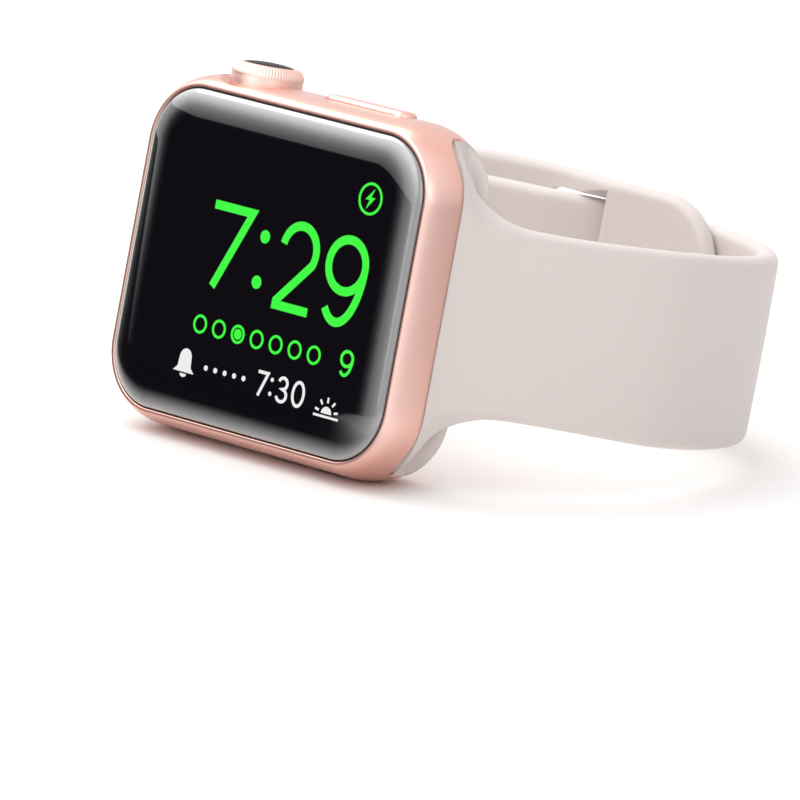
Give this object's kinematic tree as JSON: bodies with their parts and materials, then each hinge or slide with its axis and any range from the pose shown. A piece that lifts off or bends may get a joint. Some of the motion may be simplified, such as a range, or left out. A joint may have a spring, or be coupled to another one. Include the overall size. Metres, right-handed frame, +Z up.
{
  "type": "smartwatch",
  "caption": "Rectangular smartwatch with domed black glass, crown and side button on one flank, and a closed moulded rubber band with pin and tuck-in tail.",
  "frame": {"origin": "middle of the bounding box's footprint, on the ground the watch stands on", "axes": "+Z up; the display faces -Y and leans back; -X is the twelve o'clock end, +X the six o'clock end; the crown flank is uppermost"},
  "size_m": [0.0608, 0.0522, 0.0349],
  "materials": {
    "rose_aluminium": "satin anodised aluminium, warm rose gold, fine bead-blasted grain",
    "knob_metal": "polished anodised aluminium, rose gold, knurled rim",
    "dark_disc": "dark glossy lacquered disc",
    "cover_glass": "polished black-bordered cover glass",
    "window_glass": "polished dark glass dome",
    "black_rubber": "black elastomer seal",
    "band_rubber": "soft matte moulded rubber, pale stone pink",
    "cover_ceramic": "smooth polished light ceramic composite",
    "stud_metal": "satin rose gold stud",
    "steel": "small machined steel parts",
    "black_plastic": "black moulded plastic",
    "panel": "self-lit display laminate",
    "board": "green solder-masked circuit board",
    "chips": "black epoxy chip packages",
    "cell_foil": "foil-wrapped cell and tungsten-like weight",
    "copper": "copper winding and foil",
    "led": "clear domed emitter"
  },
  "bodies": {
    "watch": {"case": "rose_aluminium", "display_glass": "cover_glass", "sensor_window": "window_glass", "display_gasket": "black_rubber", "back_gasket": "black_rubber", "crown_seal": "black_rubber", "side_button_seal": "black_rubber", "back_cover": "cover_ceramic", "crown_bush": "steel", "board_screw_1": "steel", "board_screw_2": "steel", "board_screw_3": "steel", "haptic_housing": "steel", "speaker_mesh": "steel", "microphone": "steel", "alignment_magnet": "steel", "display_panel": "panel", "display_frame": "black_plastic", "display_flex": "copper", "charging_coil": "copper", "battery": "cell_foil", "main_board": "board", "sensor_board": "board", "processor_module": "chips", "radio_module": "chips", "crown_switch": "chips", "side_button_switch": "chips", "speaker_module": "chips", "sensor_led_left": "led", "sensor_led_right": "led", "photodiode_upper": "chips", "photodiode_lower": "chips"},
    "crown_carrier": {"crown_thrust_plate": "steel"},
    "crown": {"crown_knob": "knob_metal", "crown_disc": "dark_disc", "crown_shaft": "steel", "crown_encoder": "chips"},
    "side_button": {"side_button": "rose_aluminium", "side_button_stem": "steel"},
    "release_button_6": {"release_button_6": "rose_aluminium"},
    "release_button_12": {"release_button_12": "rose_aluminium"},
    "haptic_weight": {"haptic_mass": "cell_foil"},
    "band": {"strap_holes": "band_rubber", "strap_pin": "band_rubber", "pin_stud": "stud_metal"}
  },
  "joints": [
    {"name": "crown_press", "type": "slide", "parent": "watch", "child": "crown_carrier", "axis": [0, -0.1656, -0.9862], "range_m": [0, 0.0004], "stiffness_N_per_m": 4000, "springref_m": -0.0002},
    {"name": "crown_spin", "type": "hinge", "parent": "crown_carrier", "child": "crown", "pos_m": [-0.0089, -0.01596, 0.03334], "axis": [0, 0.1656, 0.9862], "continuous": true},
    {"name": "side_button_press", "type": "slide", "parent": "watch", "child": "side_button", "axis": [0, -0.1656, -0.9862], "range_m": [0, 0.0003], "stiffness_N_per_m": 5000, "springref_m": -0.0002},
    {"name": "release_button_6_press", "type": "slide", "parent": "watch", "child": "release_button_6", "axis": [0, -0.9862, 0.1656], "range_m": [0, 0.0005], "stiffness_N_per_m": 3000, "springref_m": -0.0002},
    {"name": "release_button_12_press", "type": "slide", "parent": "watch", "child": "release_button_12", "axis": [0, -0.9862, 0.1656], "range_m": [0, 0.0005], "stiffness_N_per_m": 3000, "springref_m": -0.0002},
    {"name": "haptic_drive", "type": "slide", "parent": "watch", "child": "haptic_weight", "axis": [1, 0, 0], "range_m": [-0.00035, 0.00035], "stiffness_N_per_m": 900},
    {"name": "band_slide", "type": "slide", "parent": "watch", "child": "band", "axis": [0, 0.1656, 0.9862], "range_m": [0, 0.034]}
  ]
}
